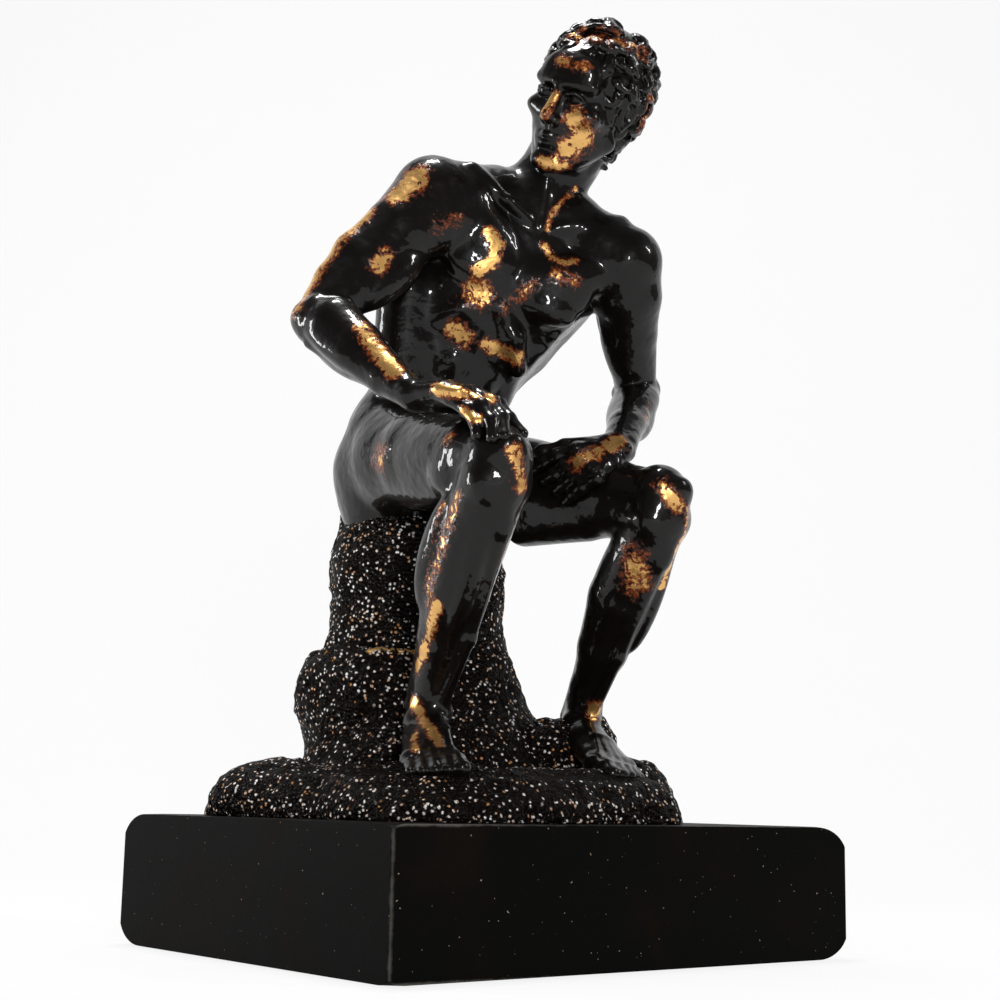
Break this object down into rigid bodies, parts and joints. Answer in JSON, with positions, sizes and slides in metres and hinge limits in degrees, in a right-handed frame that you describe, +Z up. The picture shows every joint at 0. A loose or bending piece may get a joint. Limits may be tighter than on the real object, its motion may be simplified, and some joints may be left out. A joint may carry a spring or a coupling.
{
  "type": "seated figure statue",
  "caption": "Seated male nude on a rock, hands resting on the knees and head turned, mounted on a low black rectangular plinth.",
  "frame": {"origin": "centre of the plinth's rectangle, on the surface that it stands on", "axes": "+Z up, the figure sits facing -Y, and its right side is at -X"},
  "size_m": [0.1474, 0.1236, 0.2601],
  "materials": {
    "figure": "black-brown lacquer over gold bronze paint on cast resin, glossy, rubbed through to gold on the raised forms",
    "rock": "pitted cast resin with a glossy dark brown lacquer and gold glints",
    "plinth": "satin black",
    "cover": "plain board",
    "felt": "black felt",
    "ballast": "as cast",
    "steel": "zinc plated",
    "dowel": "plain beech"
  },
  "bodies": {
    "root": {"plinth": "plinth", "bottom_cover": "cover", "felt_pad": "felt", "ballast_plate": "ballast", "seat_rod": "steel", "seat_rod_washer": "steel", "seat_rod_nut": "steel", "ground_screws": "steel", "ground_rock": "rock", "rock_seat": "rock", "torso": "figure", "head": "figure", "right_arm": "figure", "left_arm": "figure", "right_leg": "figure", "left_leg": "figure", "neck_dowel": "dowel", "shoulder_dowels": "dowel", "hip_dowels": "dowel", "foot_pins": "steel"}
  },
  "joints": []
}
